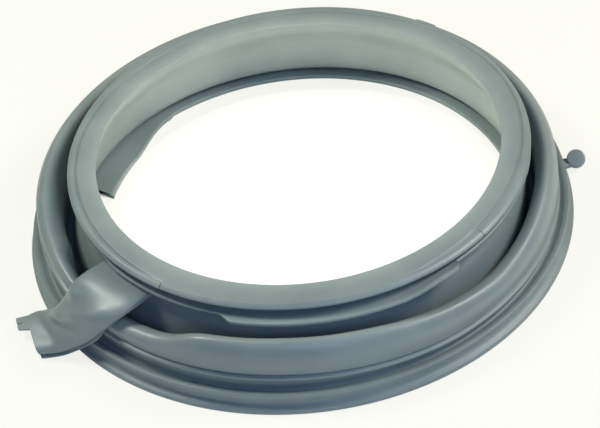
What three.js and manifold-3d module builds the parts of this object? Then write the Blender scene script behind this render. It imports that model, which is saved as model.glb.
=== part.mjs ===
// Door seal of a front-loading washing machine, a bellows moulded in one piece of EPDM rubber.
// It lies on its tub flange with the front ring up, as it rests on a table when it is not fitted.
// Millimetres, +Z up. The origin is the axis of the tub flange at the level of its flat base.
// Bearings are degrees about +Z from +X; the spout points to about 200 degrees.
import * as THREE from 'three';
import { mergeVertices } from 'three/addons/utils/BufferGeometryUtils.js';
import Module from 'manifold-3d';

// Fineness of the facets
const RING_FACETS = 56;
const WALL_STEPS = 21;
const SPOUT_FACETS = 16;
const SPOUT_STEPS = 13;
const ARC_STEPS = 7;

// Tub flange, the thick rim that a clamp ring holds on the tub
const FLANGE_RADIUS = 200;
const FLANGE_HEIGHT = 15.6;
const FLANGE_WIDTH = 16;
const FLANGE_BEAD = 3.2;
const RIDGE_INSET = 3.2;
const CLAMP_GROOVE_DEPTH = 1.4;
const CLAMP_GROOVE_HEIGHT = 6.5;
const FLANGE_STEP = 3.4;

// Inner lip of the tub side, the flat sheet that reaches in under the bellows
const TUB_LIP_RADIUS = 159.4;
const TUB_LIP_THICKNESS = 3.6;
const TUB_LIP_EDGE = 0.9;

// Guard, the part of that lip that is made wider over one stretch
const GUARD_RADIUS = 144.9;
const GUARD_START = 119;
const GUARD_SHOULDER = 139;
const GUARD_END = 155.2;
const GUARD_TIP = 157.3;
const GUARD_BOW = 1.9;

// Front ring, the head that the door and the cabinet front meet
const RING_INNER_RADIUS = 145.6;
const RING_OUTER_RADIUS = 166.8;
const SEAL_HEIGHT = 67.9;
const RIM_THICKNESS = 3.5;
const RING_DEPTH = 10.4;
const RING_ROUND = 1.3;
const CREASE_INSET = 7.4;
const CREASE_DEPTH = 0.8;
const CREASE_WIDTH = 1.2;

// Groove for the cabinet front, and the second lip below it
const PANEL_GROOVE_HEIGHT = 6.6;
const PANEL_GROOVE_DEPTH = 11.3;
const SECOND_LIP_THICKNESS = 2.8;
const SECOND_LIP_INSET = 0.4;

// Apron, the stretch where the second lip is wider
const APRON_REACH = 6.6;
const APRON_START = 241;
const APRON_STEP = 4.4;
const APRON_END = 300.2;
const APRON_CORNER = 3.3;

// Two small tabs on the rim of the front ring, for lining it up
const TAB_PROUD = 1.6;
const TAB_BEARINGS = [[41, 47], [126.6, 132]];
const TAB_HEIGHT = 2.4;

// Bellows wall
const WALL = 3;
const NECK_TOP_RADIUS = 150.6;
const NECK_FOOT_RADIUS = 165.2;
const NECK_BULGE = 2.6;
const NECK_BULGE_LEVEL = 40;
const NECK_FOOT_LEVEL = 24.4;
const FOLD_RADIUS = 169.6;
const FOLD_CLEARANCE = 2.2;
const FOLD_ROUND = 4.3;
const ROLL_INNER_RADIUS = 174;
const ROLL_CREST_RADIUS = 181.6;
const ROLL_OUTER_RADIUS = 187.8;
const ROLL_HEIGHT = 53.4;
const ROLL_WAIST_LEVEL = 26;
const ROLL_INNER_SHOULDER_LEVEL = 43.6;
const ROLL_OUTER_SHOULDER_LEVEL = 45.7;
const ROLL_FLANK_LEVEL = 36.3;
const ROLL_FOOT_RADIUS = 186.6;

// Drip lip at the foot of the roll
const DRIP_LIP_REACH = 2.2;
const DRIP_LIP_LEVEL = 19.5;
const DRIP_LIP_THICKNESS = 1.8;
const DRIP_LIP_ROOT = 4;

// The set that the soft bellows takes as it lies
const LEAN = 3.73;
// By bearing: how far the crest of the roll has sunk, and how far the drip lip has risen
const BELLOWS_SET = [
  [0, 0, 0.5],
  [90, 0, 3],
  [150, 0, 9],
  [178, 1.5, 15],
  [196, 7, 15],
  [206, 13, 11],
  [214, 16, 7],
  [222, 15, 5.5],
  [229, 8, 5.5],
  [238, 1.5, 5.5],
  [258, 1, 5],
  [276, 4, 2.5],
  [292, 10.5, 0],
  [309, 15, 0],
  [324, 9.5, 0],
  [338, 1.5, 0.5],
  [360, 0, 0.5],
];

// Spout, the flat duct that leaves the neck and lies over the roll and the tub flange
const SPOUT_WALL = 1.6;
const SPOUT_ROUNDNESS = 0.62;
const SPOUT_HALF_HEIGHT = 4.6;
// Stations of its middle: radius, bearing, level, half width, the bearing that it faces and its tilt
const SPOUT_STATIONS = [
  [145.8, 213.6, 46.5, 25, 216, 0],
  [160, 213.5, 49, 25.4, 217, 0],
  [175.4, 213.3, 49, 25.8, 216.5, 0],
  [184.8, 212.4, 44.6, 25.2, 214, 0],
  [191.4, 210.7, 34.6, 22.8, 211.5, 1],
  [198.2, 208.5, 24.2, 20.8, 208, 3],
  [204.2, 206, 16.4, 20.6, 202.5, 5],
  [210.2, 203.6, 10.6, 20.2, 195.4, 7],
  [219.7, 201.6, 6.8, 17.8, 186, 6],
];
const SOLE_OVERHANG = 2;
const SOLE_THICKNESS = 2.2;
const SOLE_START = 0.55;

// Ear with a notch at the corner of the spout's mouth
const EAR_LENGTH = 8.6;
const EAR_ROOT_WIDTH = 14.4;
const EAR_TIP_WIDTH = 9.4;
const EAR_INSET = 2;
const EAR_THICKNESS = 3;
const NOTCH_DEPTH = 5.6;
const NOTCH_WIDTH = 1.8;

// Grip button on a short stem, for pulling the seal over the tub
const BUTTON_RADIUS = 6.8;
const BUTTON_THICKNESS = 6;
const BUTTON_LEVEL = 9;
const BUTTON_TILT = 36;
const BUTTON_FACING = 248;
const BUTTON_BEARING = -1.6;
const STEM_LENGTH = 7.8;
const STEM_WIDTH = 8;
const STEM_THICKNESS = 4;
const STEM_LEVEL = 4;

const RUBBER_COLOUR = 0x8e9a98;

const wasm = await Module();
wasm.setup();

const radians = (degrees) => THREE.MathUtils.degToRad(degrees);

// A point of the plan view from its radius and bearing
function planPoint(radius, bearing) {
  return new THREE.Vector2(radius * Math.cos(radians(bearing)), radius * Math.sin(radians(bearing)));
}

// Makes a closed three.js geometry a solid for cutting and joining
function solidOf(geometry) {
  geometry.deleteAttribute('normal');
  geometry.deleteAttribute('uv');
  const merged = mergeVertices(geometry, 1e-4);
  return new wasm.Manifold(new wasm.Mesh({
    numProp: 3,
    vertProperties: new Float32Array(merged.attributes.position.array),
    triVerts: new Uint32Array(merged.index.array),
  }));
}

function geometryOf(solid) {
  const mesh = solid.getMesh();
  const geometry = new THREE.BufferGeometry();
  geometry.setAttribute('position', new THREE.BufferAttribute(new Float32Array(mesh.vertProperties), 3));
  geometry.setIndex(new THREE.BufferAttribute(new Uint32Array(mesh.triVerts), 1));
  geometry.computeVertexNormals();
  return geometry;
}

// Moves each vertex of a geometry by a rule of its place
function moveVertices(geometry, rule) {
  const places = geometry.attributes.position;
  const place = new THREE.Vector3();
  for (let i = 0; i < places.count; i += 1) {
    rule(place.fromBufferAttribute(places, i));
    places.setXYZ(i, place.x, place.y, place.z);
  }
}

// Turns a section once round the axis; outlineAt gives its points, as radius and height, at a bearing
function turned(outlineAt) {
  const closedAt = (bearing) => {
    const outline = outlineAt(bearing);
    return [...outline, outline[0]].map(([radius, height]) => new THREE.Vector2(radius, height));
  };
  const geometry = new THREE.LatheGeometry(closedAt(0), RING_FACETS);
  const places = geometry.attributes.position;
  const columns = places.count / (RING_FACETS + 1);
  for (let i = 0; i < places.count; i += 1) {
    const bearing = (Math.floor(i / columns) / RING_FACETS) * 360;
    const point = closedAt(bearing)[i % columns];
    const place = planPoint(point.x, bearing);
    places.setXYZ(i, place.x + leanAt(point.x, point.y), place.y, point.y);
  }
  return solidOf(geometry);
}

// Raises an outline of the plan view into a sheet from one level up
function sheet(outline, level, thickness, settle) {
  const geometry = new THREE.ExtrudeGeometry(outline, {
    depth: thickness,
    bevelEnabled: false,
    curveSegments: ARC_STEPS,
  });
  geometry.translate(0, 0, level);
  moveVertices(geometry, settle);
  return solidOf(geometry);
}

const stay = () => {};

// Levels of the front ring, worked down from its face
const rimUnderside = SEAL_HEIGHT - RIM_THICKNESS;
const lipTop = rimUnderside - PANEL_GROOVE_HEIGHT;
const lipUnderside = lipTop - SECOND_LIP_THICKNESS;
const lipRadius = RING_OUTER_RADIUS - SECOND_LIP_INSET;
const grooveFloorRadius = RING_OUTER_RADIUS - PANEL_GROOVE_DEPTH;
const apronRadius = lipRadius + APRON_REACH;
const half = WALL / 2;
const foldLevel = TUB_LIP_THICKNESS + FOLD_CLEARANCE + half;
const crestLevel = ROLL_HEIGHT - half;
const flangeInside = FLANGE_RADIUS - FLANGE_WIDTH;
const ridgeRadius = FLANGE_RADIUS - RIDGE_INSET;
const dripLipRadius = ROLL_FOOT_RADIUS + half + DRIP_LIP_REACH;
const dripLipUnderside = DRIP_LIP_LEVEL - DRIP_LIP_THICKNESS;

// The front ring and the top of the neck sit a little off the axis of the flange
function leanAt(radius, height) {
  const share = THREE.MathUtils.smoothstep(height, foldLevel, lipUnderside - WALL);
  return radius < FOLD_RADIUS ? LEAN * share : 0;
}

function lean(place) {
  place.x += LEAN;
}

// How far the crest has sunk and the drip lip has risen at a bearing
function setAt(bearing) {
  const turn = THREE.MathUtils.euclideanModulo(bearing, 360);
  const next = BELLOWS_SET.findIndex(([end]) => end > turn);
  const [start, fallBefore, riseBefore] = BELLOWS_SET[next - 1];
  const [end, fallAfter, riseAfter] = BELLOWS_SET[next];
  const share = (turn - start) / (end - start);
  return {
    fall: THREE.MathUtils.lerp(fallBefore, fallAfter, share),
    rise: THREE.MathUtils.lerp(riseBefore, riseAfter, share),
  };
}

// The apron starts with a soft step and ends in a rounded corner
function apron() {
  const outline = new THREE.Shape();
  const root = grooveFloorRadius + WALL;
  const stepEnd = APRON_START + APRON_STEP;
  const cornerStart = APRON_END - APRON_CORNER;
  const start = planPoint(lipRadius - WALL, APRON_START);
  const stepOut = planPoint(apronRadius, stepEnd);
  const lowTurn = planPoint(lipRadius + APRON_REACH / 4, APRON_START + APRON_STEP / 2);
  const highTurn = planPoint(apronRadius, APRON_START + APRON_STEP / 2);
  const corner = planPoint(apronRadius, APRON_END);
  const finish = planPoint(lipRadius - WALL, APRON_END);
  const back = planPoint(root, APRON_END);
  outline.moveTo(start.x, start.y);
  outline.bezierCurveTo(lowTurn.x, lowTurn.y, highTurn.x, highTurn.y, stepOut.x, stepOut.y);
  outline.absarc(0, 0, apronRadius, radians(stepEnd), radians(cornerStart), false);
  outline.quadraticCurveTo(corner.x, corner.y, finish.x, finish.y);
  outline.lineTo(back.x, back.y);
  outline.absarc(0, 0, root, radians(APRON_END), radians(APRON_START), true);
  return sheet(outline, lipUnderside, SECOND_LIP_THICKNESS, lean);
}

function rimTab([from, to]) {
  const outline = new THREE.Shape();
  outline.absarc(0, 0, RING_OUTER_RADIUS + TAB_PROUD, radians(from), radians(to), false);
  outline.absarc(0, 0, RING_OUTER_RADIUS - WALL, radians(to), radians(from), true);
  return sheet(outline, rimUnderside + RING_ROUND / 4, TAB_HEIGHT, lean);
}

// The middle of the wall at a bearing: down the neck, round the fold, over the roll and down to its foot
function wallRoute(bearing) {
  const { fall, rise } = setAt(bearing);
  const neckBend = THREE.MathUtils.lerp(NECK_TOP_RADIUS, NECK_FOOT_RADIUS, 1 / 2) + NECK_BULGE;
  const footLevel = DRIP_LIP_LEVEL + DRIP_LIP_ROOT;
  const inner = (level) => level - (fall * (level - foldLevel)) / (crestLevel - foldLevel);
  const outer = (level) => {
    const share = (level - footLevel) / (crestLevel - footLevel);
    return level + rise * (1 - share) - fall * share;
  };
  return new THREE.SplineCurve([
    [NECK_TOP_RADIUS + NECK_BULGE, lipUnderside - half],
    [neckBend, NECK_BULGE_LEVEL],
    [NECK_FOOT_RADIUS - half, NECK_FOOT_LEVEL],
    [NECK_FOOT_RADIUS + half / 3, foldLevel + FOLD_ROUND],
    [FOLD_RADIUS, foldLevel],
    [ROLL_INNER_RADIUS - half / 2, foldLevel + FOLD_ROUND],
    [ROLL_INNER_RADIUS, inner(ROLL_WAIST_LEVEL)],
    [ROLL_INNER_RADIUS + half, inner(ROLL_INNER_SHOULDER_LEVEL)],
    [ROLL_CREST_RADIUS, crestLevel - fall],
    [ROLL_OUTER_RADIUS - half, outer(ROLL_OUTER_SHOULDER_LEVEL)],
    [ROLL_OUTER_RADIUS, outer(ROLL_FLANK_LEVEL)],
    [ROLL_OUTER_RADIUS - half / 2, outer(footLevel)],
  ].map(([radius, height]) => new THREE.Vector2(radius, height)));
}

// One skin of the wall, offset to the outside or the inside of its middle
function skin(bearing, offset) {
  const route = wallRoute(bearing);
  return Array.from({ length: WALL_STEPS + 1 }, (_, i) => {
    const middle = route.getPoint(i / WALL_STEPS);
    const along = route.getTangent(i / WALL_STEPS);
    return [middle.x - along.y * offset, middle.y + along.x * offset];
  });
}

// The tub flange from the inner end of its base, up its side and in along its top
function flangeOutline() {
  const grooveFoot = FLANGE_BEAD + CLAMP_GROOVE_DEPTH;
  const grooveTop = grooveFoot + CLAMP_GROOVE_HEIGHT;
  const ridgeRound = (FLANGE_HEIGHT - grooveTop) / 3;
  return [
    [FLANGE_RADIUS - TUB_LIP_EDGE, 0],
    [FLANGE_RADIUS, TUB_LIP_EDGE],
    [FLANGE_RADIUS, FLANGE_BEAD - TUB_LIP_EDGE / 2],
    [FLANGE_RADIUS - CLAMP_GROOVE_DEPTH * 2, grooveFoot],
    [ridgeRadius - CLAMP_GROOVE_DEPTH, grooveFoot + CLAMP_GROOVE_DEPTH],
    [ridgeRadius - CLAMP_GROOVE_DEPTH, grooveTop],
    [ridgeRadius, grooveTop + ridgeRound],
    [ridgeRadius, FLANGE_HEIGHT - ridgeRound],
    [ridgeRadius - ridgeRound, FLANGE_HEIGHT],
    [ridgeRadius - WALL, FLANGE_HEIGHT - ridgeRound / 3],
    [dripLipRadius, FLANGE_HEIGHT - FLANGE_STEP],
    [ROLL_FOOT_RADIUS + half, FLANGE_HEIGHT - FLANGE_STEP * 1.2],
  ];
}

function dripLipOutline(bearing) {
  const { rise } = setAt(bearing);
  return [
    [ROLL_FOOT_RADIUS + half, dripLipUnderside + rise],
    [dripLipRadius, dripLipUnderside + rise],
    [dripLipRadius, dripLipUnderside + DRIP_LIP_THICKNESS / 2 + rise],
    [dripLipRadius - DRIP_LIP_THICKNESS, DRIP_LIP_LEVEL + rise],
  ];
}

function secondLipOutline() {
  return [
    [lipRadius - SECOND_LIP_THICKNESS / 3, lipUnderside],
    [lipRadius, lipUnderside + SECOND_LIP_THICKNESS / 2],
    [lipRadius - SECOND_LIP_THICKNESS / 3, lipTop],
    [grooveFloorRadius + SECOND_LIP_THICKNESS / 2, lipTop],
    [grooveFloorRadius, lipTop + SECOND_LIP_THICKNESS / 2],
    [grooveFloorRadius, rimUnderside - SECOND_LIP_THICKNESS / 2],
    [grooveFloorRadius + SECOND_LIP_THICKNESS / 2, rimUnderside],
  ];
}

function frontRingOutline() {
  const creaseRadius = RING_OUTER_RADIUS - CREASE_INSET;
  return [
    [RING_OUTER_RADIUS - RING_ROUND, rimUnderside],
    [RING_OUTER_RADIUS, rimUnderside + RING_ROUND],
    [RING_OUTER_RADIUS - RING_ROUND / 2, SEAL_HEIGHT - RING_ROUND / 2],
    [RING_OUTER_RADIUS - RING_ROUND * 2, SEAL_HEIGHT],
    [creaseRadius + CREASE_WIDTH / 2, SEAL_HEIGHT],
    [creaseRadius, SEAL_HEIGHT - CREASE_DEPTH],
    [creaseRadius - CREASE_WIDTH / 2, SEAL_HEIGHT],
    [RING_INNER_RADIUS + RING_ROUND, SEAL_HEIGHT],
    [RING_INNER_RADIUS, SEAL_HEIGHT - RING_ROUND],
    [RING_INNER_RADIUS + RING_ROUND / 4, SEAL_HEIGHT - RING_ROUND * 2.5],
    [NECK_TOP_RADIUS - half, SEAL_HEIGHT - RING_DEPTH + half],
  ];
}

function tubLipOutline() {
  return [
    [flangeInside, DRIP_LIP_LEVEL - DRIP_LIP_ROOT],
    [flangeInside, TUB_LIP_THICKNESS],
    [TUB_LIP_RADIUS + TUB_LIP_EDGE, TUB_LIP_THICKNESS],
    [TUB_LIP_RADIUS, TUB_LIP_THICKNESS - TUB_LIP_EDGE],
    [TUB_LIP_RADIUS, TUB_LIP_EDGE],
    [TUB_LIP_RADIUS + TUB_LIP_EDGE, 0],
  ];
}

// The whole section in one outline: up the outside to the front ring and back along the inside
function bellows() {
  return turned((bearing) => [
    ...flangeOutline(),
    ...dripLipOutline(bearing),
    ...skin(bearing, half).reverse(),
    ...secondLipOutline(),
    ...frontRingOutline(),
    ...skin(bearing, -half),
    ...tubLipOutline(),
  ]);
}

// The space inside the neck, which the spout may not reach into
function neckCore() {
  const wall = skin(0, -half).filter(([radius, height]) => radius < NECK_FOOT_RADIUS && height > foldLevel);
  const coreRadius = NECK_TOP_RADIUS / 2;
  return turned(() => [[coreRadius, wall[0][1]], ...wall, [coreRadius, wall.at(-1)[1]]].reverse());
}

// The guard swells from the lip's edge to a shoulder, runs on nearly even and stops at a slanted end
function guard() {
  const outline = new THREE.Shape();
  const root = TUB_LIP_RADIUS + WALL;
  const rise = (GUARD_SHOULDER - GUARD_START) / 3;
  const start = planPoint(TUB_LIP_RADIUS, GUARD_START);
  const leave = planPoint(TUB_LIP_RADIUS, GUARD_START + rise);
  const arrive = planPoint(GUARD_RADIUS + GUARD_BOW, GUARD_SHOULDER - rise);
  const shoulder = planPoint(GUARD_RADIUS + GUARD_BOW, GUARD_SHOULDER);
  const bow = planPoint(GUARD_RADIUS + GUARD_BOW * 1.8, (GUARD_SHOULDER + GUARD_TIP) / 2);
  const edge = planPoint(GUARD_RADIUS, GUARD_TIP);
  const back = planPoint(root, GUARD_END);
  outline.moveTo(start.x, start.y);
  outline.bezierCurveTo(leave.x, leave.y, arrive.x, arrive.y, shoulder.x, shoulder.y);
  outline.quadraticCurveTo(bow.x, bow.y, edge.x, edge.y);
  outline.lineTo(back.x, back.y);
  outline.absarc(0, 0, root, radians(GUARD_END), radians(GUARD_START), true);
  return sheet(outline, 0, TUB_LIP_THICKNESS, stay);
}

const spoutRoute = new THREE.CatmullRomCurve3(SPOUT_STATIONS.map(([radius, bearing, level]) => {
  const place = planPoint(radius, bearing);
  return new THREE.Vector3(place.x, place.y, level);
}));
// Half width, facing and tilt along the spout
const spoutSpread = new THREE.CatmullRomCurve3(
  SPOUT_STATIONS.map(([, , , halfWidth, facing, tilt]) => new THREE.Vector3(halfWidth, facing, tilt)),
);

// The way the left side of the spout points: square to its facing and raised by its tilt
function spoutSide(t) {
  const { y: facing, z: tilt } = spoutSpread.getPoint(t);
  const across = planPoint(Math.cos(radians(tilt)), facing - 90);
  return new THREE.Vector3(across.x, across.y, Math.sin(radians(tilt)));
}

// Squares up a circle's coordinate, so that a round section becomes a flat oval
const flattened = (value) => Math.sign(value) * Math.abs(value) ** SPOUT_ROUNDNESS;

// A flat tube along a stretch of the spout's route
function duct({ from, to, margin, halfHeight, drop, overrun }) {
  const geometry = new THREE.CylinderGeometry(1, 1, 1, SPOUT_FACETS, SPOUT_STEPS);
  moveVertices(geometry, (place) => {
    const share = THREE.MathUtils.clamp(place.y + 0.5, 0, 1);
    const t = THREE.MathUtils.lerp(from, to, share);
    const along = spoutRoute.getTangent(t);
    const side = spoutSide(t);
    const top = new THREE.Vector3().crossVectors(side, along).normalize();
    const across = flattened(place.x) * (spoutSpread.getPoint(t).x + margin);
    const above = flattened(place.z) * halfHeight - drop;
    const past = share === 1 ? overrun : 0;
    place.copy(spoutRoute.getPoint(t));
    place.addScaledVector(side, across);
    place.addScaledVector(top, above);
    place.addScaledVector(along, past);
  });
  return solidOf(geometry);
}

function spoutBody() {
  return duct({ from: 0, to: 1, margin: 0, halfHeight: SPOUT_HALF_HEIGHT, drop: 0, overrun: 0 });
}

// The lower layer of the spout, a little wider than the tube above it
function spoutSole() {
  return duct({
    from: SOLE_START,
    to: 1,
    margin: SOLE_OVERHANG,
    halfHeight: SOLE_THICKNESS / 2,
    drop: SPOUT_HALF_HEIGHT - SOLE_THICKNESS / 2,
    overrun: 0,
  });
}

function spoutBore() {
  return duct({
    from: 0,
    to: 1,
    margin: -SPOUT_WALL,
    halfHeight: SPOUT_HALF_HEIGHT - SPOUT_WALL,
    drop: 0,
    overrun: EAR_LENGTH,
  });
}

// The ear stands out from the corner of the mouth and is notched like a fish tail
function ear() {
  const mouth = spoutRoute.getPoint(1);
  const corner = mouth.clone().addScaledVector(spoutSide(1), spoutSpread.getPoint(1).x - EAR_INSET);
  const prong = (EAR_TIP_WIDTH - NOTCH_WIDTH) / 2;
  const outline = new THREE.Shape();
  outline.moveTo(-WALL, 0);
  outline.lineTo(EAR_LENGTH, 0);
  outline.lineTo(EAR_LENGTH, prong);
  outline.lineTo(EAR_LENGTH - NOTCH_DEPTH, EAR_TIP_WIDTH / 2);
  outline.lineTo(EAR_LENGTH, EAR_TIP_WIDTH - prong);
  outline.lineTo(EAR_LENGTH, EAR_TIP_WIDTH);
  outline.lineTo(0, EAR_ROOT_WIDTH);
  outline.lineTo(-WALL, EAR_ROOT_WIDTH);
  const geometry = new THREE.ExtrudeGeometry(outline, { depth: EAR_THICKNESS, bevelEnabled: false });
  geometry.rotateX(-radians(spoutSpread.getPoint(1).z));
  geometry.rotateZ(radians(spoutSpread.getPoint(1).y));
  geometry.translate(corner.x, corner.y, corner.z);
  return solidOf(geometry);
}

function gripButton() {
  const centre = planPoint(FLANGE_RADIUS + STEM_LENGTH, BUTTON_BEARING);
  const disc = new THREE.CylinderGeometry(BUTTON_RADIUS, BUTTON_RADIUS, BUTTON_THICKNESS, SPOUT_FACETS);
  disc.rotateX(Math.PI / 2);
  disc.rotateY(radians(BUTTON_TILT));
  disc.rotateZ(radians(BUTTON_FACING));
  disc.translate(centre.x, centre.y, BUTTON_LEVEL);
  const rooted = STEM_LENGTH + FLANGE_WIDTH / 2;
  const stem = new THREE.BoxGeometry(rooted, STEM_WIDTH, STEM_THICKNESS);
  stem.translate(FLANGE_RADIUS + STEM_LENGTH - rooted / 2, 0, STEM_LEVEL + STEM_THICKNESS / 2);
  stem.rotateZ(radians(BUTTON_BEARING));
  return solidOf(disc).add(solidOf(stem));
}

let seal = bellows();
[apron(), guard(), gripButton(), ...TAB_BEARINGS.map(rimTab)].forEach((piece) => {
  seal = seal.add(piece);
});
seal = seal.add(spoutBody().subtract(neckCore())).add(spoutSole()).subtract(spoutBore()).add(ear());

const rubber = new THREE.MeshStandardMaterial({ color: RUBBER_COLOUR, roughness: 0.55, metalness: 0 });
const doorSeal = new THREE.Mesh(geometryOf(seal), rubber);
doorSeal.name = 'door_seal';

const part = new THREE.Group();
part.add(doorSeal);

export default part;
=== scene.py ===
# %% [markdown]
# # A washing machine's door seal
# The seal is a bellows of EPDM rubber. Its front ring grips the edge of the cabinet, its tub flange
# grips the tub, and a deep fold and a hollow roll between them let the tub swing. The real seal is
# moulded in one piece, so one section carries nearly all of its shape. This lesson draws that section
# in millimetres, carries it once round the axis, and lets it change a little from bearing to bearing.

import math

import bmesh
import bpy
import numpy as np
from mathutils import Matrix, Vector


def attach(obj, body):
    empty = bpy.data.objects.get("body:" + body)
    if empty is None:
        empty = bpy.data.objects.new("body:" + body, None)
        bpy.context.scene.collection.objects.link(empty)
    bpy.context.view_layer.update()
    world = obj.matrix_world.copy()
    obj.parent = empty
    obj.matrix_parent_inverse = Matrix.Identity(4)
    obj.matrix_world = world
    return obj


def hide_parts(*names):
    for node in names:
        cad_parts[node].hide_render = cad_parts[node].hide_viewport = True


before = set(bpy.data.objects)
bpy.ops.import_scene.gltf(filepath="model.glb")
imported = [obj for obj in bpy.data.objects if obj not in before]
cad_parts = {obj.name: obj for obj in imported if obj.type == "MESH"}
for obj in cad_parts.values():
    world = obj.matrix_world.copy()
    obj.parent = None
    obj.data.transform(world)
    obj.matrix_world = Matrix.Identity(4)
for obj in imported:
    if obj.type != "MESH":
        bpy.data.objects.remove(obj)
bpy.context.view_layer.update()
MM = 0.001
BODY = "root"

# %% [markdown]
# ## Measures
# Radii are from the axis of the tub flange, heights are from its flat base, and bearings are degrees
# about the upward axis. The main ones are the measures that the solid model is drawn from, so the
# rubber drawn here keeps to the solid's own box, to within a millimetre.

# %% Measures of the rings
FLANGE_RADIUS = 200
FLANGE_HEIGHT = 15.6
FLANGE_INSIDE = 184
FLANGE_BEAD = 3.2
RIDGE_RADIUS = 196.8
CLAMP_GROOVE_RADIUS = 195.4
TUB_LIP_RADIUS = 159.4
TUB_LIP_THICKNESS = 3.6
RING_INNER_RADIUS = 145.6
RING_OUTER_RADIUS = 166.8
SEAL_HEIGHT = 67.9
RIM_UNDERSIDE = 64.4
GROOVE_FLOOR_RADIUS = 155.5
LIP_TOP = 57.8
LIP_UNDERSIDE = 55
LIP_RADIUS = 166.4

# %% Measures of the bellows wall
WALL = 3
HALF_WALL = WALL / 2
FOLD_RADIUS = 169.6
FOLD_LEVEL = 7.3
CREST_LEVEL = 51.9
ROLL_FOOT_RADIUS = 186.6
DRIP_LIP_RADIUS = 190.3
DRIP_LIP_LEVEL = 19.5
DRIP_LIP_UNDERSIDE = 17.7
ROLL_FOOT_LEVEL = 23.5


# %% [markdown]
# ## Helpers for outlines
# A mould has no sharp corners, and the small rounds are what catch the light on the lips. Each
# outline is therefore a list of corners with a round each, and one helper rounds them.

# %% Rounding the corners of an outline
# The largest share of a side that the round at one of its ends may take
ROUND_SHARE = 0.49


def rounded(corners, steps=4):
    """Corners are (radius from the axis, height, round); gives the points of the rounded outline."""
    points = []
    for i, (r, z, bend) in enumerate(corners):
        here = np.array([r, z], float)
        if bend == 0 or i in (0, len(corners) - 1):
            points.append(here)
            continue
        before = np.array(corners[i - 1][:2], float) - here
        after = np.array(corners[i + 1][:2], float) - here
        reach = min(bend, np.linalg.norm(before) * ROUND_SHARE, np.linalg.norm(after) * ROUND_SHARE)
        start = here + before / np.linalg.norm(before) * reach
        end = here + after / np.linalg.norm(after) * reach
        points += [start * (1 - t) ** 2 + here * 2 * t * (1 - t) + end * t ** 2
                   for t in np.linspace(0, 1, steps)]
    return points


def spline(points, count):
    """A smooth curve through points, evenly spread over them, and its direction at each place."""
    knots = np.array(points, float)
    where = np.linspace(0, len(knots) - 1, count)
    first = np.minimum(where.astype(int), len(knots) - 2)
    t = (where - first)[:, None]
    a = knots[np.maximum(first - 1, 0)]
    b, c = knots[first], knots[first + 1]
    d = knots[np.minimum(first + 2, len(knots) - 1)]
    v0, v1 = (c - a) / 2, (d - b) / 2
    places = (2 * b - 2 * c + v0 + v1) * t ** 3 + (3 * c - 3 * b - 2 * v0 - v1) * t ** 2 + v0 * t + b
    slopes = (2 * b - 2 * c + v0 + v1) * 3 * t ** 2 + (3 * c - 3 * b - 2 * v0 - v1) * 2 * t + v0
    return places, slopes / np.linalg.norm(slopes, axis=1)[:, None]


def smoothstep(x, low, high):
    t = np.clip((x - low) / (high - low), 0, 1)
    return t * t * (3 - 2 * t)


# %% [markdown]
# ## How the section changes round the seal
# The second lip is wider at the bottom of the door, which gives the apron, and narrower at the left.
# The tub lip is wider at one side, which gives the guard, and its edge lies a little off the axis. The
# ring's face is wider at the back. Two tabs on the rim show the fitter where the top is, and a crease
# on the face leaves a strip by the rim that ends at two nicks.
#
# The soft rubber has taken a set as well. The roll's crest has sunk under the spout and at the front,
# and leans in and out beside the spout. The drip lip has risen at the left, and the second lip has bent
# up at the right. Each of these is a value that depends on the bearing.

# %% Bearings of the moulded features
APRON_REACH = 6.6
APRON_START = (241, 245.4)
APRON_END = (296.9, 300.2)
GUARD_REACH = 12.6
GUARD_RISE = (119.5, 140.5)
GUARD_END = 155.2
GUARD_TIP = 157.3
GUARD_SLOPE = 0.12
# The tub lip's edge is a little off the axis, towards one bearing
TUB_LIP_SHIFT = 1.7
TUB_LIP_SHIFT_BEARING = 110
TABS = [(41, 47), (126.6, 132)]
TAB_PROUD = 1.6
# Turns between bearings: the even ones, and the close ones on both sides of a step
EVEN_TURN = 1.2
SMALL_TURN = 0.25
HAIR_TURN = 0.02
SWELL_ROWS = 12
# Radius of the crease by bearing; it fades out before each end of the strip
CREASE_ROUTE = np.array([
    (0, 161.5), (15, 162), (40, 159.8), (60, 158), (90, 157), (120, 157.2), (140, 158.6),
    (165, 160.6), (190, 160.7), (205, 161.2), (226, 162.6), (284, 162.8), (300, 160.6),
    (320, 158.9), (340, 159.9), (360, 161.5),
])
CREASE_DEPTH = 1.1
# Radius of the ring's inner edge by bearing; the face is wider at the back
RING_EDGE_ROUTE = np.array([
    (0, 145.6), (38, 145.5), (46, 144.6), (52, 143.4), (60, 142), (75, 141.6), (90, 141.7),
    (105, 142.2), (120, 142.2), (132, 143), (142, 144.4), (155, 145.6), (360, 145.6),
])
CREASE_FADES = [(214, 228), (284, 296)]
NICKS = [226.2, 309.6]
NICK_HALF_TURN = 0.13
NICK_DEPTH = 1.2
STRIP_DROP = 0.4
LIP_CUT = 2
LIP_CUT_BEARINGS = (160, 203)
LIP_CUT_FADES = (15, 8)
LIP_LIFT = 4
LIP_LIFT_BEARINGS = [(284, 297), (328, 348)]


def ring_bearings():
    """Even bearings, with close ones added where a feature starts or stops short."""
    even = np.arange(0, 360, EVEN_TURN)
    steps = [GUARD_END] + [b for tab in TABS for b in tab]
    steps += [n + d for n in NICKS for d in (-NICK_HALF_TURN, NICK_HALF_TURN)]
    close = [s + d for s in steps for d in (-SMALL_TURN, -HAIR_TURN, HAIR_TURN, SMALL_TURN)]
    swell = np.concatenate([np.linspace(*APRON_START, SWELL_ROWS), np.linspace(*APRON_END, SWELL_ROWS)])
    return np.unique(np.round(np.concatenate([even, close, swell]), 3) % 360)


bearings = ring_bearings()
print("bearings round the seal:", len(bearings))


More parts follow.
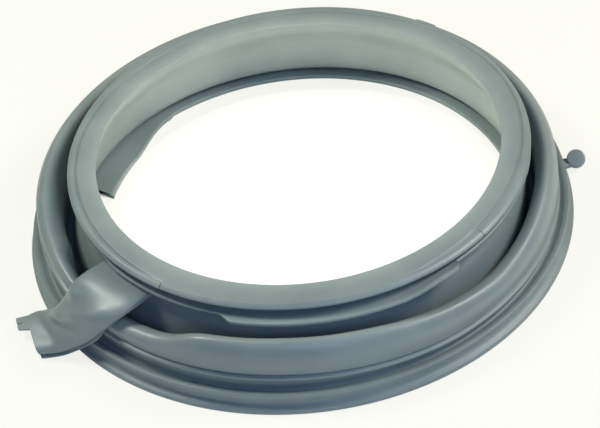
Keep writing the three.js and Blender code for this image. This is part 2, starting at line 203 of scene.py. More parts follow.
# %% Reach of the apron, the guard and the tabs at a bearing
def apron_reach(bearing):
    rise = smoothstep(bearing, *APRON_START)
    corner = np.clip((bearing - APRON_END[0]) / (APRON_END[1] - APRON_END[0]), 0, 1)
    return APRON_REACH * rise * math.sqrt(1 - corner ** 3)


def guard_reach(bearing):
    if bearing > GUARD_END:
        return 0
    return GUARD_REACH * smoothstep(bearing, *GUARD_RISE) + GUARD_SLOPE * max(bearing - GUARD_RISE[1], 0)


def tab_reach(bearing):
    inside = [smoothstep(bearing, a, a + SMALL_TURN) * (1 - smoothstep(bearing, b - SMALL_TURN, b))
              for a, b in TABS]
    return TAB_PROUD * sum(inside)


def lip_cut(bearing):
    """How much narrower the second lip is at the left."""
    (a, b), (fade_in, fade_out) = LIP_CUT_BEARINGS, LIP_CUT_FADES
    return LIP_CUT * smoothstep(bearing, a - fade_in, a) * (1 - smoothstep(bearing, b, b + fade_out))


def lip_lift(bearing):
    """How far the second lip has bent up at the right."""
    (a, b), (c, d) = LIP_LIFT_BEARINGS
    return LIP_LIFT * smoothstep(bearing, a, b) * (1 - smoothstep(bearing, c, d))


# %% Crease, strip and nicks of the front ring at a bearing
def crease(bearing):
    """Radius and depth of the crease."""
    (a, b), (c, d) = CREASE_FADES
    depth = CREASE_DEPTH * (1 - smoothstep(bearing, a, b) + smoothstep(bearing, c, d))
    return float(np.interp(bearing, CREASE_ROUTE[:, 0], CREASE_ROUTE[:, 1])), depth


def strip_level(bearing):
    """Level of the ring's face between the crease and the rim, and how deep a nick cuts there."""
    nick = NICK_DEPTH * any(abs(bearing - n) < NICK_HALF_TURN for n in NICKS)
    drop = 0 if NICKS[0] < bearing < NICKS[1] else STRIP_DROP
    return SEAL_HEIGHT - drop, nick


# %% The set that the soft wall has taken
# By bearing: how far the crest of the roll has sunk, and how far the drip lip has risen
BELLOWS_SET = np.array([
    (0, 0, 0.5), (90, 0, 3), (150, 0, 9), (178, 1.5, 15), (196, 7, 15), (206, 13, 11), (214, 16, 7),
    (222, 15, 5.5), (229, 13.5, 5.5), (233, 11, 5.5), (238, 2, 5.5), (258, 1, 5), (276, 4, 2.5),
    (292, 10.5, 0), (309, 15, 0), (324, 9.5, 0), (338, 1.5, 0.5), (360, 0, 0.5),
])
# The set is blurred with a spread of this many degrees, as rubber doesn't bend in corners. The blur
# reaches three spreads to each side, and needs degrees past both ends of the circle.
SET_SOFTNESS = 2.6
SET_STEP = 0.5
BLUR_REACH = 3
SET_MARGIN = 40
# By bearing: how far the inner edge of the crest leans in over the fold, or out from it where negative
CREST_LEAN = np.array([
    (0, 0), (150, 0), (166, 0.8), (175, 2.2), (183, 2.4), (188, 2.2), (191.5, 2.4), (194, -1.5),
    (197, -3.2), (202, -4.4), (207, -3.6), (213, -1.5), (220, 0), (360, 0),
])
set_bearings = np.arange(-SET_MARGIN, 360 + SET_MARGIN + SET_STEP, SET_STEP)
blur_steps = int(SET_SOFTNESS * 2 * BLUR_REACH / SET_STEP)
blur = np.exp(-np.linspace(-BLUR_REACH, BLUR_REACH, blur_steps + 1) ** 2 / 2)
blur /= blur.sum()
set_values = [np.convolve(np.interp(set_bearings % 360, BELLOWS_SET[:, 0], column), blur, "same")
              for column in BELLOWS_SET[:, 1:].T]


def set_at(bearing):
    """Fall of the crest and rise of the drip lip at a bearing, in millimetres."""
    return [float(np.interp(bearing, set_bearings, values)) for values in set_values]


# %% [markdown]
# ## The section
# The outline runs up the outside of the tub flange, over the drip lip, over the roll, down the fold
# and up the neck to the front ring, and comes back along the inside. The bellows wall is a curve with
# an even thickness on both sides of it, because the mould keeps the rubber about three millimetres thick.

# %% Outside: the tub flange and the drip lip
def flange_corners(rise):
    foot = ROLL_FOOT_RADIUS + HALF_WALL
    return [
        (FLANGE_RADIUS, 0, 0.9),
        (FLANGE_RADIUS, FLANGE_BEAD, 1.2),
        (FLANGE_RADIUS - 2.8, FLANGE_BEAD + 1.2, 0.6),
        (CLAMP_GROOVE_RADIUS - 0.4, FLANGE_BEAD + 2.6, 1.4),
        (CLAMP_GROOVE_RADIUS - 0.4, 11.0, 1.2),
        (RIDGE_RADIUS, 12.4, 0.9),
        (RIDGE_RADIUS, FLANGE_HEIGHT, 0.9),
        (RIDGE_RADIUS - 3.2, FLANGE_HEIGHT - 0.6, 1.1),
        (DRIP_LIP_RADIUS, 12.2, 1.6),
        (foot, 11.6, 1.6),
        (foot, DRIP_LIP_UNDERSIDE + rise, 0.6),
        (DRIP_LIP_RADIUS, DRIP_LIP_UNDERSIDE + rise, 0.7),
        (DRIP_LIP_RADIUS, DRIP_LIP_LEVEL + rise, 0.7),
        (DRIP_LIP_RADIUS - 1.2, DRIP_LIP_LEVEL + 0.6 + rise, 0.5),
        (foot - 0.8, DRIP_LIP_LEVEL + 1.1 + rise, 0.4),
        (foot + 0.5, DRIP_LIP_LEVEL + 2.8 + rise, 0.9),
    ]


# %% The front ring, its groove for the cabinet and the second lip
# The ring's inner edge is undercut by this much; the ring's inside meets the neck at this radius and drop
RING_UNDERCUT = 3.2
NECK_START_RADIUS = 149.5
NECK_START_DROP = 8.9


def ring_corners(bearing):
    fold, depth = crease(bearing)
    strip, nick = strip_level(bearing)
    edge = float(np.interp(bearing, *RING_EDGE_ROUTE.T))
    lift = lip_lift(bearing)
    lip = LIP_RADIUS + apron_reach(bearing) - lip_cut(bearing)
    rim = RING_OUTER_RADIUS + tab_reach(bearing) - nick
    return [
        (lip, LIP_UNDERSIDE + lift, 1.1),
        (lip, LIP_TOP + lift, 1.1),
        (GROOVE_FLOOR_RADIUS, LIP_TOP, 1.4),
        (GROOVE_FLOOR_RADIUS, RIM_UNDERSIDE, 1.4),
        (rim, RIM_UNDERSIDE, 1.0),
        (rim, strip - nick - 1.9, 1.0),
        (RING_OUTER_RADIUS - 2.6, strip - nick, 1.6),
        (fold + 1, strip - nick / 2, 0.4),
        (fold + 0.3, strip - depth, 0.3),
        (fold - 0.3, strip - depth, 0.3),
        (fold - 1.3, SEAL_HEIGHT, 0.6),
        (edge, SEAL_HEIGHT, 0.7),
        (edge + 0.3, SEAL_HEIGHT - 1.8, 0.7),
        (RING_INNER_RADIUS + RING_UNDERCUT, SEAL_HEIGHT - RING_UNDERCUT, 1),
        (NECK_START_RADIUS, SEAL_HEIGHT - NECK_START_DROP, 2.4),
    ]


# %% Inside: the tub lip
def tub_lip_corners(bearing):
    shift = TUB_LIP_SHIFT * math.cos(math.radians(bearing - TUB_LIP_SHIFT_BEARING))
    edge = TUB_LIP_RADIUS + shift * (guard_reach(bearing) == 0) - guard_reach(bearing)
    return [
        (FLANGE_INSIDE, 15.5, 1.0),
        (FLANGE_INSIDE, TUB_LIP_THICKNESS, 1.0),
        (edge, TUB_LIP_THICKNESS, 1.1),
        (edge, 0, 1.1),
        (FLANGE_INSIDE, 0, 0),
    ]


# %% The wall of the bellows
def wall_middle(fall, rise, lean_in=0):
    """Points of the middle of the wall, from the neck over the roll to its foot."""
    def inner(level):
        return level - fall * (level - FOLD_LEVEL) / (CREST_LEVEL - FOLD_LEVEL)

    def outer(level):
        share = (level - ROLL_FOOT_LEVEL) / (CREST_LEVEL - ROLL_FOOT_LEVEL)
        return level + rise * (1 - share) - fall * share

    return [
        (153.2, 53.5), (160.5, 40), (163.7, 24.4), (165.7, 11.6), (FOLD_RADIUS, FOLD_LEVEL),
        (173.25, 11.6), (174 - lean_in * 0.3, inner(26)), (175.3 - lean_in, inner(45)),
        (181.4 - lean_in * 0.5, CREST_LEVEL - fall), (186.3, outer(45.7)), (187.8, outer(36.3)),
        (187.05, outer(ROLL_FOOT_LEVEL)),
    ]


def section(bearing, wall_points=58):
    """The closed outline at a bearing, as radius and height."""
    fall, rise = set_at(bearing)
    lean_in = float(np.interp(bearing, *CREST_LEAN.T))
    places, along = spline(wall_middle(fall, rise, lean_in), wall_points)
    outward = np.stack([-along[:, 1], along[:, 0]], -1) * HALF_WALL
    outer_skin, inner_skin = places + outward, places - outward
    tub_lip = tub_lip_corners(bearing)
    upward = rounded([tub_lip[-1]] + flange_corners(rise) + [(*outer_skin[-1], 0)])[:-1]
    across = rounded([(*outer_skin[0], 0)] + ring_corners(bearing) + [(*inner_skin[0], 0)])[1:-1]
    back = rounded([(*inner_skin[-1], 0)] + tub_lip)[1:-1]
    return np.array(upward + list(outer_skin[::-1]) + across + list(inner_skin) + back)


print("points in the section:", len(section(0)))

# %% [markdown]
# ## The bellows mesh
# The points make a grid, bearings one way and the section the other, closed both ways. Faces between
# neighbours give a clean mesh of quads, with no joining of parts to leave a seam. The faces are shaded
# smooth, and only edges that turn by more than a set angle stay crisp.

# %% From a grid of points to an object
# Edges that turn by more than this many degrees stay crisp
CRISP_TURN = 40


def grid_faces(rows, columns, close_rows, close_columns):
    """Faces between neighbours of a grid of points, closed one way, both ways or neither."""
    row_starts, column_starts = np.arange(rows - (not close_rows)), np.arange(columns - (not close_columns))
    i, j = np.meshgrid(row_starts, column_starts, indexing="ij")
    i2, j2 = (i + 1) % rows, (j + 1) % columns
    quads = np.stack([i * columns + j, i2 * columns + j, i2 * columns + j2, i * columns + j2], -1)
    return quads.reshape(-1, 4).tolist()


def smooth_shaded(mesh):
    mesh.shade_smooth()
    mesh.set_sharp_from_angle(angle=math.radians(CRISP_TURN))


def new_piece(name, points_mm, faces):
    """Makes an object from points in millimetres, with its faces turned outward."""
    mesh = bpy.data.meshes.new(name)
    mesh.from_pydata((np.asarray(points_mm).reshape(-1, 3) * MM).tolist(), [], faces)
    mesh.validate()
    outward = bmesh.new()
    outward.from_mesh(mesh)
    bmesh.ops.recalc_face_normals(outward, faces=outward.faces)
    outward.to_mesh(mesh)
    outward.free()
    smooth_shaded(mesh)
    piece = bpy.data.objects.new(name, mesh)
    bpy.context.scene.collection.objects.link(piece)
    print(name, "has", len(mesh.vertices), "points and", len(mesh.polygons), "faces")
    return piece


# %% Carrying the section round
# How far the front ring's middle lies from the flange's axis
LEAN = 3.73
# The guard's slanted cut grows between these turns before its end
GUARD_SKEW_TURNS = (10, 1)
# Slack for telling by its level which form a point belongs to
LEVEL_SLACK = 0.1


def plan(radius, bearing):
    """Places in the plan view from radius and bearing."""
    turn = np.radians(bearing)
    return np.stack([radius * np.cos(turn), radius * np.sin(turn)], -1)


def ring_points(bearing):
    """The section at a bearing, in space; the neck and the front ring sit a little off the flange's axis."""
    radius, height = section(bearing).T
    on_tub_lip = height < TUB_LIP_THICKNESS + LEVEL_SLACK
    skew = guard_skew(bearing) * np.clip((TUB_LIP_RADIUS - radius) / GUARD_REACH, 0, 1) * on_tub_lip
    places = np.concatenate([plan(radius, bearing + skew), height[:, None]], -1)
    front = (radius < FOLD_RADIUS) | (height > LIP_UNDERSIDE - LEVEL_SLACK)
    places[:, 0] += np.where(front, LEAN * smoothstep(height, FOLD_LEVEL, LIP_UNDERSIDE - WALL), 0)
    return places


def guard_skew(bearing):
    """How far the tub lip's inner edge runs ahead of its root, so that the guard ends in a slanted cut."""
    start, end = (GUARD_END - turn for turn in GUARD_SKEW_TURNS)
    return (GUARD_TIP - GUARD_END) * smoothstep(bearing, start, end) * (bearing < GUARD_END)


bellows_grid = np.array([ring_points(bearing) for bearing in bearings])
bellows = new_piece("door_bellows", bellows_grid, grid_faces(*bellows_grid.shape[:2], True, True))

# %% [markdown]
# ## The spout
# Water that runs down the groove leaves through a flat rubber duct. It comes out of the neck under the
# second lip, lies over the roll and the flange, and goes limp on the table. A tube with an oval section
# is drawn along its route, with its inside as a second skin, so the mouth shows real wall thickness.

# %% Route and spread of the spout
# Stations of its middle: radius, bearing, level, half width, the bearing that it faces and its tilt
SPOUT_STATIONS = np.array([
    (145.8, 213.6, 46.5, 25, 216, 0),
    (160, 213.5, 49, 25.4, 217, 0),
    (175.4, 213.3, 49, 25.8, 216.5, 0),
    (184.8, 212.4, 44.6, 25.2, 214, 0),
    (191.4, 210.7, 34.6, 22.8, 211.5, 1),
    (198.2, 208.5, 24.2, 20.8, 208, 3),
    (204.2, 206, 16.4, 20.6, 202.5, 5),
    (210.2, 203.6, 10.6, 20.2, 195.4, 7),
    (219.7, 201.6, 6.8, 17.8, 186, 6),
])
SPOUT_WALL = 1.6
SPOUT_HALF_HEIGHT = 4.6
SPOUT_ROUNDNESS = 0.62
# Share of the route at which the spout leaves the neck
SPOUT_ROOT = 0.069
ROUTE_POINTS = 2001
spout_knots = np.concatenate([plan(SPOUT_STATIONS[:, 0], SPOUT_STATIONS[:, 1]), SPOUT_STATIONS[:, 2:]], -1)
spout_route, _ = spline(spout_knots, ROUTE_POINTS)
spout_along = np.gradient(spout_route[:, :3], axis=0)
spout_along /= np.linalg.norm(spout_along, axis=1)[:, None]


def spout_frame(share):
    """Middle, direction, side, up and half width of the spout at shares of its length from 0 to 1."""
    at = np.asarray(share) * (ROUTE_POINTS - 1)
    places = np.arange(ROUTE_POINTS)
    row = np.stack([np.interp(at, places, column) for column in spout_route.T], -1)
    along = np.stack([np.interp(at, places, column) for column in spout_along.T], -1)
    tilt = np.radians(row[:, 5])
    side = np.concatenate([plan(np.cos(tilt), row[:, 4] - 90), np.sin(tilt)[:, None]], -1)
    up = np.cross(side, along)
    return row[:, :3], along, side, up / np.linalg.norm(up, axis=1)[:, None], row[:, 3]


# %% Skins of the spout
# Soft hollows and swells of the limp top skin: share of length, place across, long, wide, rise
SPOUT_SWELLS = [
    (0.42, 0.66, 0.035, 0.2, 1.6), (0.45, -0.5, 0.08, 0.45, 4.4), (0.54, -0.05, 0.1, 0.5, 6.0),
    (0.65, 0.4, 0.08, 0.4, 3.6), (0.86, -0.1, 0.08, 0.5, -1.2),
]
# The swells fade in between these two heights of the section, as shares of its half height
TOP_SKIN = (0.1, 0.7)


def spout_bumps(share, across):
    return sum(rise * np.exp(-((share - s) / long) ** 2 - ((across - a) / wide) ** 2)
               for s, a, long, wide, rise in SPOUT_SWELLS)


def flattened(value, power):
    """Squares up a circle's coordinate, so that a round section becomes a flat oval."""
    return np.sign(value) * np.abs(value) ** power


def spout_skin(inset, share, around=96):
    """Rows of points round the spout, as far inside its outer skin as the inset says."""
    middle, _, side, up, half_width = spout_frame(share)
    angle = np.linspace(0, 2 * math.pi, around, endpoint=False)
    width_share = flattened(np.cos(angle), SPOUT_ROUNDNESS)[None]
    across = width_share * (half_width - inset)[:, None]
    level = flattened(np.sin(angle), SPOUT_ROUNDNESS)[None] * (SPOUT_HALF_HEIGHT - inset)
    level = level + smoothstep(np.sin(angle), *TOP_SKIN)[None] * spout_bumps(share[:, None], width_share)
    return middle[:, None] + side[:, None] * across[..., None] + up[:, None] * level[..., None]


# %% Seating the root in the neck
SEAT_FADE = 0.12
# The first points of the wall's middle, as far as the fold, are the neck
NECK_POINTS = 5


def neck_radius(height, steps=60):
    """Radius of the middle of the neck's wall at a height."""
    middle, _ = spline(wall_middle(0, 0)[:NECK_POINTS], steps)
    return np.interp(height, middle[::-1, 1], middle[::-1, 0])


def seated(grid, share):
    """Moves the first rows along the spout, so that its root ends inside the neck's curved wall."""
    root = grid[0]
    lean = np.stack([LEAN * smoothstep(root[:, 2], FOLD_LEVEL, LIP_UNDERSIDE - WALL), 0 * root[:, 2]], -1)
    spoke = root[:, :2] - lean
    reach = np.linalg.norm(spoke, axis=1)
    facing = spout_frame(share[:1])[1][0]
    slant = (spoke / reach[:, None]) @ facing[:2]
    shift = (neck_radius(root[:, 2]) - reach) / slant
    fade = 1 - smoothstep(share, share[0], share[0] + SEAT_FADE)
    return grid + fade[:, None, None] * shift[None, :, None] * facing


# %% The tube, longer than needed by the length of the ear
EAR_LENGTH = 8.6
OVERRUN = EAR_LENGTH + 3
spout_share = np.linspace(SPOUT_ROOT, 1, 110)
_, mouth_along, mouth_side, mouth_up, mouth_half_width = (v[0] for v in spout_frame(np.array([1.0])))


def run_on(skin, steps=6):
    """Adds rows that run straight on past the mouth."""
    rows = [skin[-1:] + mouth_along * OVERRUN * k / steps for k in range(1, steps + 1)]
    return np.concatenate([skin] + rows)


outside = run_on(seated(spout_skin(0, spout_share), spout_share))
inside = run_on(seated(spout_skin(SPOUT_WALL, spout_share), spout_share))
spout_grid = np.concatenate([outside, inside[::-1]])
spout = new_piece("drain_spout", spout_grid, grid_faces(*spout_grid.shape[:2], True, True))

# %% [markdown]
# ## Mouth and ear
# The duct is cut off square at its mouth, but its top skin runs on at the left corner as an ear with a
# notch, which the fitter grips. Two cutters take away everything else past the mouth: a prism with the
# ear's outline in it, and a block under the ear.

# %% Cutting
EAR_ROOT_WIDTH = 14.4
EAR_TIP_WIDTH = 9.4
NOTCH_DEPTH = 5.6
NOTCH_WIDTH = 1.8
# The ear starts this far inside the tube's left edge, and its underside is this far above the middle
EAR_INSET = 1
EAR_UNDERSIDE = 0.9
# How far the cutters reach above and below the mouth's middle, and past the tube on its other sides
CUT_HEIGHT = 20
CUT_MARGIN = 9


def capped(grid):
    """Faces of a tube grid with its two ends closed."""
    rows, columns = grid.shape[:2]
    first, last = list(range(columns))[::-1], [(rows - 1) * columns + j for j in range(columns)]
    return grid_faces(rows, columns, False, True) + [first, last]


def cut(piece, cutter):
    """Takes the cutter's volume out of a piece and removes the cutter."""
    modifier = piece.modifiers.new("cut", "BOOLEAN")
    modifier.operation, modifier.solver, modifier.object = "DIFFERENCE", "MANIFOLD", cutter
    bpy.context.view_layer.objects.active = piece
    bpy.ops.object.modifier_apply(modifier=modifier.name)
    bpy.data.objects.remove(cutter)
    smooth_shaded(piece.data)


def mouth_prism(plan_view, low, high):
    """A prism on the mouth's plane: outward and across from its left corner, between two levels."""
    corner = spout_frame(np.array([1.0]))[0][0] + mouth_side * (mouth_half_width - EAR_INSET)
    out = np.cross(mouth_up, mouth_side)
    rings = [[corner + out * u - mouth_side * v + mouth_up * w for u, v in plan_view] for w in (high, low)]
    return new_piece("cutter", rings, capped(np.array(rings)))


# %% The mouth and its ear
prong = (EAR_TIP_WIDTH - NOTCH_WIDTH) / 2
near, far, wide = -CUT_MARGIN, OVERRUN + CUT_MARGIN, 2 * mouth_half_width + CUT_MARGIN
round_the_ear = [
    (EAR_LENGTH, near), (far, near), (far, wide), (0, wide), (0, EAR_ROOT_WIDTH),
    (EAR_LENGTH, EAR_TIP_WIDTH), (EAR_LENGTH, EAR_TIP_WIDTH - prong),
    (EAR_LENGTH - NOTCH_DEPTH, EAR_TIP_WIDTH / 2), (EAR_LENGTH, prong),
]
under_the_ear = [(0, near), (far, near), (far, wide), (0, wide)]
cut(spout, mouth_prism(round_the_ear, -CUT_HEIGHT, CUT_HEIGHT))
cut(spout, mouth_prism(under_the_ear, -CUT_HEIGHT, EAR_UNDERSIDE))
print("spout after cutting:", len(spout.data.polygons), "faces")

# %% [markdown]
# ## The port and the sole
# Inside the neck a port opens into the duct. The duct's lower layer is a little wider than the tube
# above it and shows as a narrow strip, with a dark line over it where the two meet.

# %% The port through the neck's wall
port_share = np.linspace(0, SPOUT_ROOT * 2, 8)
port_grid = spout_skin(SPOUT_WALL, port_share, around=48)
cut(bellows, new_piece("cutter", port_grid, capped(port_grid)))
print("bellows after cutting:", len(bellows.data.polygons), "faces")

# %% The sole
# Share of the route at which the sole starts, and over which it widens from inside the tube to past it
SOLE_START = 0.5
SOLE_FADE = 0.12
SOLE_INSET = 2
SOLE_OVERHANG = 2
SOLE_THICKNESS = 2.2
SOLE_ROUNDNESS = 0.5


def sole_points(rows=70, around=40):
    share = np.linspace(SOLE_START, 1, rows)
    middle, _, side, up, half_width = spout_frame(share)
    angle = np.linspace(0, 2 * math.pi, around, endpoint=False)
    swell = smoothstep(share, SOLE_START, SOLE_START + SOLE_FADE)[:, None]
    sole_half_width = half_width[:, None] - SOLE_INSET + (SOLE_INSET + SOLE_OVERHANG) * swell
    across = flattened(np.cos(angle), SOLE_ROUNDNESS)[None] * sole_half_width
    level = flattened(np.sin(angle), SOLE_ROUNDNESS)[None] * SOLE_THICKNESS / 2
    level = level - SPOUT_HALF_HEIGHT + SOLE_THICKNESS / 2
    return middle[:, None] + side[:, None] * across[..., None] + up[:, None] * level[..., None]


sole_grid = sole_points()
sole = new_piece("spout_sole", sole_grid, capped(sole_grid))


# %% Rounding the edges of a plain piece
def bevelled(piece, width, segments=3):
    """Rounds the edges of a piece and keeps the result in its mesh."""
    bevel = piece.modifiers.new("round", "BEVEL")
    bevel.width = width * MM
    bevel.segments = segments
    bevel.limit_method = "ANGLE"
    bpy.context.view_layer.objects.active = piece
    bpy.ops.object.modifier_apply(modifier=bevel.name)
    smooth_shaded(piece.data)


# %% [markdown]
# ## The grip button
# A round button on a short stem sticks out from the tub flange opposite the spout. The fitter pulls the
# seal over the tub by it. Both are moulded with the flange, with rounded edges.

# %% Button and stem
BUTTON_RADIUS = 6.8
BUTTON_THICKNESS = 6
BUTTON_ROUND = 1.2
BUTTON_SIDES = 64
# The points on each end close in to this radius, where one small face fills the middle
BUTTON_CENTRE = 0.01
BUTTON_LEVEL = 9
BUTTON_TILT = 36
BUTTON_FACING = 248
BUTTON_BEARING = -1.6
STEM_LENGTH = 7.8
STEM_WIDTH = 8
STEM_THICKNESS = 4
STEM_LEVEL = 4
STEM_ROUND = 0.8
# Corners of the stem's edge: how far past the flange's rim, and how far past half the stem's width
STEM_EDGE = [(-6, 1.5), (1, 0), (STEM_LENGTH, -1)]


def button_points():
    half = BUTTON_THICKNESS / 2
    corners = [(BUTTON_CENTRE, -half, 0), (BUTTON_RADIUS, -half, BUTTON_ROUND),
               (BUTTON_RADIUS, half, BUTTON_ROUND), (BUTTON_CENTRE, half, 0)]
    section_points = np.array(rounded(corners))
    turn = np.linspace(0, 2 * math.pi, BUTTON_SIDES, endpoint=False)[:, None]
    flat = np.stack([np.cos(turn) * section_points[:, 0], np.sin(turn) * section_points[:, 0],
                     section_points[:, 1] + 0 * turn], -1)
    facing = Matrix.Rotation(math.radians(BUTTON_FACING), 3, "Z")
    spin = facing @ Matrix.Rotation(math.radians(BUTTON_TILT), 3, "Y")
    middle = np.array([*plan(FLANGE_RADIUS + STEM_LENGTH, BUTTON_BEARING), BUTTON_LEVEL])
    return flat @ np.array(spin).T + middle


button_grid = button_points()
button_faces = grid_faces(*button_grid.shape[:2], True, False)
columns = button_grid.shape[1]
button_faces += [[i * columns for i in range(BUTTON_SIDES)],
                 [i * columns + columns - 1 for i in range(BUTTON_SIDES)][::-1]]
button = new_piece("grip_button", button_grid, button_faces)


# %% The stem
def stem_piece():
    """A plate that narrows from inside the flange to the button."""
    turn = math.radians(BUTTON_BEARING)
    out = np.array([math.cos(turn), math.sin(turn), 0])
    across = np.array([-math.sin(turn), math.cos(turn), 0])
    edge = [(FLANGE_RADIUS + past, STEM_WIDTH / 2 + wider) for past, wider in STEM_EDGE]
    outline_2d = edge + [(r, -w) for r, w in edge[::-1]]
    low = [out * r + across * w + np.array([0, 0, STEM_LEVEL]) for r, w in outline_2d]
    high = [p + np.array([0, 0, STEM_THICKNESS]) for p in low]
    n = len(outline_2d)
    sides = [[i, (i + 1) % n, n + (i + 1) % n, n + i][::-1] for i in range(n)]
    piece = new_piece("button_stem", low + high, sides + [list(range(n)), list(range(n, 2 * n))[::-1]])
    bevelled(piece, STEM_ROUND)
    return piece


stem = stem_piece()

# %% [markdown]
# ## EPDM rubber
# The seal is EPDM, moulded in a smooth steel mould and filled with grey pigment. It is semi-matt: light
# gives it soft, broad highlights and never a sharp reflection. Its grey leans to blue-green, and a thin
# bloom of wax that comes to the surface makes it paler and duller in cloudy patches.

# %% Colours and nodes
def linear(hex_colour):
    """An sRGB hex colour as the linear values that the shader works in."""
    parts = [int(hex_colour[i:i + 2], 16) / 255 for i in (1, 3, 5)]
    return [v / 12.92 if v <= 0.04045 else ((v + 0.055) / 1.055) ** 2.4 for v in parts] + [1]


def add_node(tree, kind, settings=None, links=None):
    """Adds a node, sets its properties or sockets, and links its inputs from other nodes' outputs."""
    node = tree.nodes.new(kind)
    for name, value in (settings or {}).items():
        if isinstance(name, int) or name in node.inputs:
            node.inputs[name].default_value = value
        else:
            setattr(node, name, value)
    for name, source in (links or {}).items():
        tree.links.new(source, node.inputs[name])
    return node


def empty_material(name):
    """A new material with no nodes yet, and its node tree."""
    material = bpy.data.materials.new(name)
    material.use_nodes = True
    material.node_tree.nodes.clear()
    return material, material.node_tree


# %% The rubber
RUBBER_GREY = "#869290"
RUBBER_BLOOM = "#8f9b98"
BLOOM_MM = 55
GRAIN_MM = 0.9
GRAIN_DEPTH_MM = 0.05
GRAIN_STRENGTH = 0.12
# Values of the noise between which a patch of bloom fades in, and roughness outside and inside it
BLOOM_EDGES = (0.38, 0.66)
ROUGHNESS = (0.34, 0.46)
# Inputs of the colour mix, which the node numbers because it has one pair for each kind of value
MIX_FACTOR, MIX_FIRST_COLOUR, MIX_SECOND_COLOUR = 0, 6, 7
MIX_RESULT_COLOUR = 2


def make_epdm():
    material, tree = empty_material("epdm_moulded_grey")
    place = add_node(tree, "ShaderNodeTexCoord").outputs["Object"]
    cloud = add_node(tree, "ShaderNodeTexNoise",
                     {"Scale": 1 / (BLOOM_MM * MM), "Detail": 3.0, "Roughness": 0.55}, {"Vector": place})
    patch = add_node(tree, "ShaderNodeMapRange", {"From Min": BLOOM_EDGES[0], "From Max": BLOOM_EDGES[1]},
                     {"Value": cloud.outputs["Fac"]}).outputs["Result"]
    greys = {MIX_FIRST_COLOUR: linear(RUBBER_GREY), MIX_SECOND_COLOUR: linear(RUBBER_BLOOM)}
    colour = add_node(tree, "ShaderNodeMix", {"data_type": "RGBA", **greys}, {MIX_FACTOR: patch})
    dullness = add_node(tree, "ShaderNodeMapRange", {"To Min": ROUGHNESS[0], "To Max": ROUGHNESS[1]},
                        {"Value": patch})
    grain = add_node(tree, "ShaderNodeTexNoise", {"Scale": 1 / (GRAIN_MM * MM), "Detail": 2.0},
                     {"Vector": place})
    relief = add_node(tree, "ShaderNodeBump",
                      {"Strength": GRAIN_STRENGTH, "Distance": GRAIN_DEPTH_MM * MM},
                      {"Height": grain.outputs["Fac"]})
    shader = add_node(tree, "ShaderNodeBsdfPrincipled",
                      {"IOR": 1.5, "Metallic": 0.0, "Specular IOR Level": 0.5},
                      {"Base Color": colour.outputs[MIX_RESULT_COLOUR],
                       "Roughness": dullness.outputs["Result"], "Normal": relief.outputs["Normal"]})
    add_node(tree, "ShaderNodeOutputMaterial", {}, {"Surface": shader.outputs["BSDF"]})
    return material


epdm = make_epdm()
pieces = [bellows, spout, sole, button, stem]
for piece in pieces:
    piece.data.materials.clear()
    piece.data.materials.append(epdm)
    piece.data.polygons.foreach_set("material_index", [0] * len(piece.data.polygons))

# %% [markdown]
# ## The frame's part in it
# Every piece is the same rubber moulding, so each one rides on the part's single body and stands for
# the one solid of the frame.

# %% Riding, and the solid that is replaced
for piece in pieces:
    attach(piece, BODY)
    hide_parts("door_seal")

# %% [markdown]
# ## Table, light and camera
# The seal lies on a white table. Two softboxes light it from the right and the left, bluish panels at
# the front and the right stand in for the sky, and a faint warm panel stands behind. A narrow spot keeps
# the table inside the opening white. The world is nearly dark, so that the deep grooves stay dark.
#
# The camera looks down at about forty degrees with a long lens, turned a little on its axis.

# %% The table
FLOOR_COLOUR = "#fdfdf6"
# Share of the floor's own colour that the camera sees; the rest is paint that shows the shadow
FLOOR_GLOW = 0.86
TABLE_HALF_WIDTH = 6


def make_table_white():
    material, tree = empty_material("white_table_paint")
    paint = add_node(tree, "ShaderNodeBsdfDiffuse", {"Color": linear(FLOOR_COLOUR)})
    glow = add_node(tree, "ShaderNodeEmission", {"Color": linear(FLOOR_COLOUR), "Strength": 1.0})
    path = add_node(tree, "ShaderNodeLightPath")
    seen = add_node(tree, "ShaderNodeMath", {"operation": "MULTIPLY", 1: FLOOR_GLOW},
                    {0: path.outputs["Is Camera Ray"]})
    mix = add_node(tree, "ShaderNodeMixShader", {},
                   {0: seen.outputs[0], 1: paint.outputs[0], 2: glow.outputs[0]})
    add_node(tree, "ShaderNodeOutputMaterial", {}, {"Surface": mix.outputs[0]})
    return material


floor_mesh = bpy.data.meshes.new("table_top")
floor_signs = [(-1, -1), (1, -1), (1, 1), (-1, 1)]
floor_corners = [(x * TABLE_HALF_WIDTH, y * TABLE_HALF_WIDTH, 0) for x, y in floor_signs]
floor_mesh.from_pydata(floor_corners, [], [(0, 1, 2, 3)])
floor_mesh.materials.append(make_table_white())
table_top = bpy.data.objects.new("table_top", floor_mesh)
bpy.context.scene.collection.objects.link(table_top)

# %% World and lamps
WORLD_COLOUR = "#b4c6ec"
WORLD_STRENGTH = 0.02
world = bpy.data.worlds.new("light_tent")
world.use_nodes = True
background = world.node_tree.nodes["Background"]
background.inputs["Color"].default_value = linear(WORLD_COLOUR)
background.inputs["Strength"].default_value = WORLD_STRENGTH
bpy.context.scene.world = world

# Name, place in metres, side of the square lamp in metres, watts, colour
PANELS = [
    ("softbox_right", (0.92, -0.1, 0.94), 0.4, 8.6, "#fff6e6"),
    ("softbox_left", (-0.6, 0.24, 0.98), 0.36, 8.0, "#fefff6"),
    ("sky_panel_right", (0.67, -0.47, 1.01), 0.4, 3.0, "#d4e8ff"),
    ("sky_panel_front", (0, -1.08, 0.72), 0.6, 3.9, "#accaff"),
    ("warm_panel_back", (0.83, 0.83, 0.55), 0.6, 0.8, "#ffd9a0"),
]
PANEL_TARGET = (0, 0, 0.03)
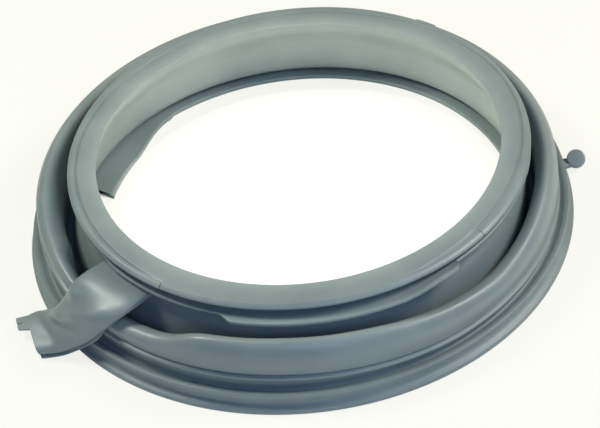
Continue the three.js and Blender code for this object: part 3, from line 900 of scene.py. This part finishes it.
# Over the middle of the front ring, which lies a little off the flange's axis
SPOT_PLACE = (0.004, 0, 1.6)
SPOT_CONE = 10.8
SPOT_WATTS = 150
SPOT_COLOUR = "#fffaec"
SPOT_SOFTNESS = 0.2
SPOT_BULB = 0.02


def hang(name, lamp, place, target, power, colour):
    """Puts a lamp in its place and turns it to its target."""
    lamp.energy = power
    lamp.color = linear(colour)[:3]
    holder = bpy.data.objects.new(name, lamp)
    holder.location = place
    holder.rotation_euler = (Vector(target) - Vector(place)).to_track_quat("-Z", "Y").to_euler()
    bpy.context.scene.collection.objects.link(holder)


def add_spot(name):
    """A lamp straight above the opening, with a cone about as wide as the opening."""
    lamp = bpy.data.lights.new(name, "SPOT")
    lamp.spot_size = math.radians(SPOT_CONE)
    lamp.spot_blend = SPOT_SOFTNESS
    lamp.shadow_soft_size = SPOT_BULB
    hang(name, lamp, SPOT_PLACE, (SPOT_PLACE[0], SPOT_PLACE[1], 0), SPOT_WATTS, SPOT_COLOUR)


for name, place, side, watts, colour in PANELS:
    panel = bpy.data.lights.new(name, "AREA")
    panel.shape = "RECTANGLE"
    panel.size = panel.size_y = side
    hang(name, panel, place, PANEL_TARGET, watts, colour)
add_spot("spot_through_the_opening")
print("lamps:", [name for name, *_ in PANELS] + ["spot_through_the_opening"])

# %% The camera
CAMERA_BEARING = -5
CAMERA_ELEVATION = 41.62
CAMERA_ROLL = -7.28
CAMERA_DISTANCE = 1.5
CAMERA_TARGET = (-0.000603, 0.000403, 0)
CAMERA_REACH = 20
LENS_MM = 121.7
SENSOR_MM = 36


def place_camera():
    """Looks along its bearing and elevation at the target, rolled about its own line of sight."""
    elevation, roll, turn = (math.radians(v) for v in (CAMERA_ELEVATION, CAMERA_ROLL, CAMERA_BEARING))
    back = Vector((0, -math.cos(elevation), math.sin(elevation)))
    level_right, level_up = Vector((1, 0, 0)), Vector((0, math.sin(elevation), math.cos(elevation)))
    right = level_right * math.cos(roll) + level_up * math.sin(roll)
    up = level_up * math.cos(roll) - level_right * math.sin(roll)
    spin = Matrix.Rotation(turn, 3, "Z")
    right, up, back = spin @ right, spin @ up, spin @ back
    camera = bpy.data.cameras.new("camera")
    camera.sensor_fit = "HORIZONTAL"
    camera.sensor_width = SENSOR_MM
    camera.lens = LENS_MM
    camera.clip_end = CAMERA_REACH
    holder = bpy.data.objects.new("camera", camera)
    holder.matrix_world = Matrix((
        (right.x, up.x, back.x, 0), (right.y, up.y, back.y, 0), (right.z, up.z, back.z, 0), (0, 0, 0, 1),
    ))
    holder.location = Vector(CAMERA_TARGET) + back * CAMERA_DISTANCE
    bpy.context.scene.collection.objects.link(holder)
    bpy.context.scene.camera = holder
    return holder


camera = place_camera()
bpy.context.scene.view_settings.view_transform = "Standard"
print("camera at", [round(v, 3) for v in camera.location])
